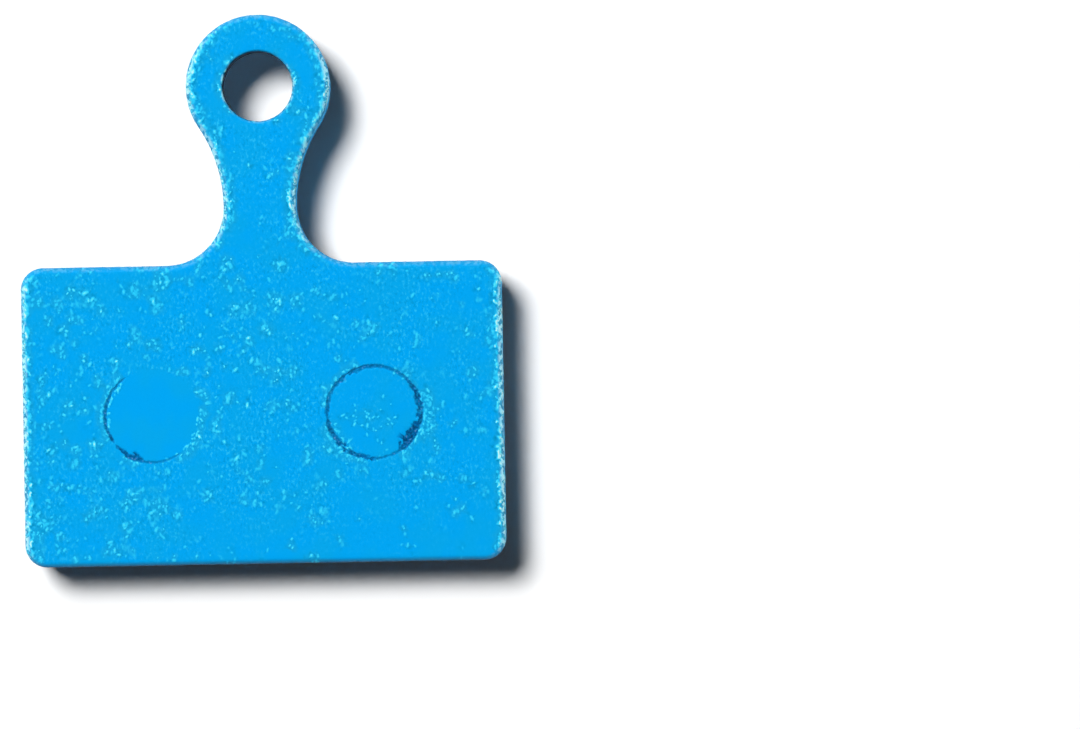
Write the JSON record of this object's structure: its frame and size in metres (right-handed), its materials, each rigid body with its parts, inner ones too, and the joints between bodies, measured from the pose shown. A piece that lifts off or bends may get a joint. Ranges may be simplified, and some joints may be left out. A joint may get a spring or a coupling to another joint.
{
  "type": "bicycle disc brake pad",
  "caption": "Flat bicycle disc brake pad: a painted steel backing plate with a neck and a pierced ear for the retaining pin, and a moulded friction block keyed through its holes.",
  "frame": {"origin": "point of the rubbing face on the piston's axis, under the middle of the plate", "axes": "+X across the pad along the rotor's travel, +Y from the rotor's axle to the pin's ear, +Z from the rubbing face to the back of the plate"},
  "size_m": [0.03, 0.0342, 0.004],
  "materials": {
    "plate_paint": "bright blue stoved paint with fine pale flecks, semi-gloss",
    "friction_compound": "matt brown-grey resin compound with pale, dark and copper grains"
  },
  "bodies": {
    "root": {"backing_plate": "plate_paint", "friction_block": "friction_compound"}
  },
  "joints": []
}
